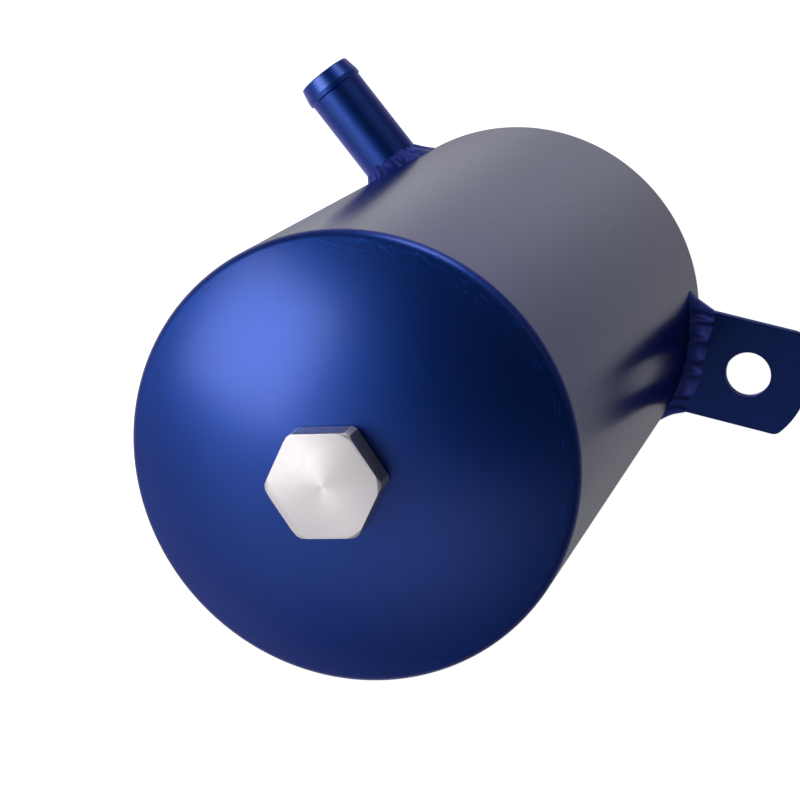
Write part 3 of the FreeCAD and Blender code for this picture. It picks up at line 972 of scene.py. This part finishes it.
def build_bracket_bead(material):
    """The fillet bead all round the bracket plate's root."""
    sizes = weld_sizes()
    half = PLATE_HALF
    thick = PLATE_THICKNESS / 2
    corner = 0.5 * MM
    reach = corner + sizes.plate_foot / 2
    middle = Vector((AXIS.x, AXIS.y, (PLATE_LOW.z + PLATE_HIGH.z) / 2))
    sides = [2 * (thick - corner), math.pi / 2 * reach, 2 * (half - corner), math.pi / 2 * reach] * 2
    total = sum(sides)

    def outline(angle):
        """The place on the plate's rounded section and the way out from it, in X and Z."""
        left = (angle / math.tau) % 1.0 * total
        centre = Vector((half - corner, -(thick - corner)))
        heading = 0.0
        for k, length in enumerate(sides):
            if k % 2 == 0:
                way = Vector((-math.sin(heading), math.cos(heading)))
                if left <= length:
                    centre = centre + way * left
                    break
                centre = centre + way * length
            else:
                if left <= length:
                    heading += left / reach
                    break
                heading += math.pi / 2
            left -= length
        out = Vector((math.cos(heading), math.sin(heading)))
        return centre + out * corner, out

    def at(angle, grow, depth):
        place, out = outline(angle)
        place = place + out * grow
        return middle + Vector((place.x, depth, place.y))

    def wall(angle, grow):
        place, out = outline(angle)
        return math.sqrt(BODY_RADIUS ** 2 - (place.x + out.x * grow) ** 2)

    def toe_at(angle, grow):
        place, out = outline(angle)
        short = 1.1 * MM * ((1.0 - place.x / half) / 2.0) ** 1.8
        return at(angle, -0.08 * MM, BODY_RADIUS + sizes.plate_leg * grow - short)

    def foot_at(angle, grow):
        reach = sizes.plate_foot * grow + 0.9 * MM * abs(outline(angle)[1].x)
        return at(angle, reach, wall(angle, reach) - 0.1 * MM)

    def root_at(angle):
        return at(angle, -0.3 * MM, wall(angle, 0.0) - 0.6 * MM)

    bm = bmesh.new()
    bead_blank(bm, 420)
    lay_bead(bm, toe_at, foot_at, root_at, round(total / (sizes.pad * 1.25)), 2.6,
             0.3 * MM, 0.35 * MM, lambda angle: 1.0 - 0.9 * math.sqrt(abs(outline(angle)[1].x)))
    return finish_piece("bracket_bead", bm, [material], "can", "bracket_weld", 75.0)


class CATCHCAN_OT_body(bpy.types.Operator):
    """Make the drawn tube and finish the two pressed ends and their seam welds"""
    bl_idname = "catchcan.body"
    bl_label = "Body"

    def execute(self, context):
        satin = pressed_finish()
        dress("drain_bush_weld", satin)
        for end, hole in (("bottom", end_sizes().drain_hole / 2), ("top", 0.0)):
            build_pressed_end(end, hole, satin)
            build_seam(end, satin)
        build_tube(drawn_finish())
        return {"FINISHED"}


class CATCHCAN_OT_spigots(bpy.types.Operator):
    """Finish the hose spigots and lay their weld beads"""
    bl_idname = "catchcan.spigots"
    bl_label = "Hose spigots"

    def execute(self, context):
        for side in ("inlet", "outlet"):
            dress(f"{side}_spigot", turned_dyed_finish(f"anodised_{side}", f"{side}_hose"))
            bead = weld_finish(f"anodised_{side}_bead", MOUNTS[f"{side}_hose"]["pos_m"])
            build_spigot_bead(side, bead)
        return {"FINISHED"}


class CATCHCAN_OT_bracket(bpy.types.Operator):
    """Finish the bracket plate and lay its weld bead"""
    bl_idname = "catchcan.bracket"
    bl_label = "Bracket"

    def execute(self, context):
        dress("bracket_tab", sheet_finish_painted_shade())
        build_bracket_bead(weld_finish("anodised_bracket_bead", (PLATE_LOW + PLATE_HIGH) / 2))
        return {"FINISHED"}


class CATCHCAN_OT_drain(bpy.types.Operator):
    """Make the threaded plug and bush and finish the washer"""
    bl_idname = "catchcan.drain"
    bl_label = "Drain"

    def execute(self, context):
        build_plug([bare_turned_finish(), bare_milled_finish()])
        build_bush(turned_bush_finish())
        dress("drain_washer", seal_finish())
        return {"FINISHED"}


def turned_bush_finish():
    """The bush: turned and dyed with the body."""
    material, tree, shader, vector = dyed_metal("anodised_bush", finish().anodise, AXIS)
    shader.inputs["Coat Roughness"].default_value = 0.15
    rings = use_group(tree, "lathe", vector, Ring_spacing=0.0002)
    tree.links.new(ranged(tree, rings.outputs["Mask"], 0.30, 0.40, 0.3, 0.7), shader.inputs["Roughness"])
    bumped(tree, shader, [(rings.outputs["Mask"], 0.000005)])
    return material


CAMERA_PLACE = Vector((0.12021, 0.03252, -0.45767))
CAMERA_RIGHT = Vector((0.1811, 0.9457, 0.2700))
CAMERA_UP = Vector((0.9385, -0.2482, 0.2401))
CAMERA_BACK = Vector((0.2941, 0.2099, -0.9324))
CAMERA_LENS = 103.34


def add_camera():
    data = bpy.data.cameras.new("camera")
    data.sensor_width = 36.0
    data.lens = CAMERA_LENS
    data.clip_start = 0.01
    camera = bpy.data.objects.new("camera", data)
    bpy.context.scene.collection.objects.link(camera)
    place = Matrix((CAMERA_RIGHT, CAMERA_UP, CAMERA_BACK)).transposed().to_4x4()
    place.translation = CAMERA_PLACE
    camera.matrix_world = place
    bpy.context.scene.camera = camera


def add_softbox(name, direction, distance, size, power, tint):
    """A soft square lamp that looks at the bottom end from that direction."""
    data = bpy.data.lights.new(name, "AREA")
    data.shape = "RECTANGLE"
    data.size, data.size_y = size
    data.energy = power
    data.color = tint
    lamp = bpy.data.objects.new(name, data)
    bpy.context.scene.collection.objects.link(lamp)
    back = Vector(direction).normalized()
    lamp.location = Vector((AXIS.x, AXIS.y, TUBE_LOW.z)) + back * distance
    lamp.rotation_euler = back.to_track_quat("Z", "Y").to_euler()
    lamp.visible_camera = False


def lobe(tree, direction, start, end, low, high):
    """A value that goes from low to high as a ray's angle to direction closes from start to end degrees."""
    place = node(tree, "ShaderNodeTexCoord")
    dot = node(tree, "ShaderNodeVectorMath", operation="DOT_PRODUCT")
    dot.inputs[1].default_value = Vector(direction).normalized()
    level = node(tree, "ShaderNodeMapRange", interpolation_type="SMOOTHSTEP", To_Min=low, To_Max=high)
    level.inputs["From Min"].default_value = math.cos(math.radians(start))
    level.inputs["From Max"].default_value = math.cos(math.radians(end))
    tree.links.new(place.outputs["Generated"], dot.inputs[0])
    tree.links.new(dot.outputs["Value"], level.inputs["Value"])
    return level.outputs["Result"]


def add_world():
    """A white sky with a brighter window in it, over a dimmer room that is darkest round the camera's side."""
    world = bpy.data.worlds.new("studio")
    bpy.context.scene.world = world
    world.use_nodes = True
    tree = world.node_tree
    tree.nodes.clear()
    ground = lobe(tree, (-0.20, -0.10, -0.97), 60.0, 22.0, 0.08, 0.62)
    dark = lobe(tree, (0.43, 0.34, -0.84), 52.0, 24.0, 1.0, 0.005)
    side = lobe(tree, (0.80, 0.50, -0.33), 34.0, 14.0, 0.0, 0.12)
    wing = lobe(tree, (-0.58, -0.76, -0.30), 44.0, 16.0, 0.0, 0.24)
    sides = node(tree, "ShaderNodeMath", operation="ADD")
    room = node(tree, "ShaderNodeMath", operation="MULTIPLY_ADD")
    sky = lobe(tree, (-0.294, -0.21, 0.932), 98.0, 30.0, 0.0, 1.0)
    shade = lobe(tree, (0.0, 1.0, 0.0), 91.0, 69.5, 1.0, 0.5)
    window = lobe(tree, (-0.05, -0.62, 0.78), 34.0, 10.0, 0.0, 0.75)
    above = node(tree, "ShaderNodeMath", operation="ADD")
    mix = node(tree, "ShaderNodeMix", data_type="FLOAT")
    background = node(tree, "ShaderNodeBackground")
    output = node(tree, "ShaderNodeOutputWorld")
    links = tree.links
    links.new(ground, room.inputs[0])
    links.new(dark, room.inputs[1])
    links.new(side, sides.inputs[0])
    links.new(wing, sides.inputs[1])
    links.new(sides.outputs["Value"], room.inputs[2])
    links.new(sky, mix.inputs["Factor"])
    links.new(room.outputs["Value"], mix.inputs["A"])
    links.new(shade, above.inputs[0])
    links.new(window, above.inputs[1])
    links.new(above.outputs["Value"], mix.inputs["B"])
    background.inputs["Color"].default_value = (1.0, 1.0, 1.0, 1.0)
    links.new(mix.outputs["Result"], background.inputs["Strength"])
    links.new(background.outputs["Background"], output.inputs["Surface"])


def add_floor(settings):
    """A pale floor that curves up into a wall all round; only the camera and diffuse light see it."""
    material, tree, shader = new_material("pale_floor")
    shader.inputs["Base Color"].default_value = (*settings.floor_colour, 1.0)
    shader.inputs["Roughness"].default_value = 0.9
    low = settings.floor_height
    flat, bend, top = 3.0, 1.5, 5.0
    curve = [math.radians(angle) for angle in range(0, 91, 10)]
    points = [(0.0, low), (flat, low)]
    points += [(flat + bend * math.sin(a), low + bend * (1.0 - math.cos(a))) for a in curve[1:]]
    bm = bmesh.new()
    verts, edges = section(bm, points + [(flat + bend, top)])
    spin(bm, verts + edges, 96)
    bmesh.ops.remove_doubles(bm, verts=bm.verts, dist=1e-6)
    bmesh.ops.recalc_face_normals(bm, faces=bm.faces)
    bmesh.ops.reverse_faces(bm, faces=bm.faces)
    mesh = bpy.data.meshes.new("floor")
    bm.to_mesh(mesh)
    bm.free()
    mesh.shade_smooth()
    mesh.materials.append(material)
    floor = bpy.data.objects.new("floor", mesh)
    bpy.context.scene.collection.objects.link(floor)
    floor.visible_glossy = False
    floor.visible_shadow = False


class CATCHCAN_OT_stage(bpy.types.Operator):
    """Set the floor, the soft light, the world and the camera"""
    bl_idname = "catchcan.stage"
    bl_label = "Stage"

    def execute(self, context):
        settings = context.scene.can_stage
        context.scene.view_settings.view_transform = "Standard"
        add_camera()
        add_world()
        add_floor(settings)
        add_softbox("key_softbox", (0.16, -0.68, -0.72), 0.7, (0.46, 0.46), settings.key_power,
                    (1.0, 0.97, 0.87))
        add_softbox("rim_softbox", (0.96, -0.04, 0.05), 0.7, (0.3, 0.3), 1.1, (1.0, 1.0, 1.0))
        return {"FINISHED"}


class CATCHCAN_PT_panel(bpy.types.Panel):
    """Sidebar panel that lists the can's sizes, colours and pieces"""
    bl_label = "Catch can"
    bl_idname = "CATCHCAN_PT_panel"
    bl_space_type = "VIEW_3D"
    bl_region_type = "UI"
    bl_category = "Catch can"

    def draw(self, context):
        for holder, group in SETTINGS.items():
            box = self.layout.box()
            for name in group.__annotations__:
                box.prop(getattr(context.scene, holder), name)
        for operator in OPERATORS:
            self.layout.operator(operator.bl_idname)


SETTINGS = {
    "can_finish": FinishSettings,
    "can_ends": EndSettings,
    "can_plug": PlugSettings,
    "can_welds": WeldSettings,
    "can_stage": StageSettings,
}
OPERATORS = (
    CATCHCAN_OT_body,
    CATCHCAN_OT_spigots,
    CATCHCAN_OT_bracket,
    CATCHCAN_OT_drain,
    CATCHCAN_OT_stage,
)
CLASSES = (*SETTINGS.values(), *OPERATORS, CATCHCAN_PT_panel)


def register():
    for cls in CLASSES:
        bpy.utils.register_class(cls)
    for holder, group in SETTINGS.items():
        setattr(bpy.types.Scene, holder, bpy.props.PointerProperty(type=group))


def unregister():
    for holder in SETTINGS:
        delattr(bpy.types.Scene, holder)
    for cls in reversed(CLASSES):
        bpy.utils.unregister_class(cls)


def main():
    register()
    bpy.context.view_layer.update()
    build_groups()
    bpy.ops.catchcan.body()
    bpy.ops.catchcan.spigots()
    bpy.ops.catchcan.bracket()
    bpy.ops.catchcan.drain()
    bpy.ops.catchcan.stage()


if __name__ == "__main__":
    main()
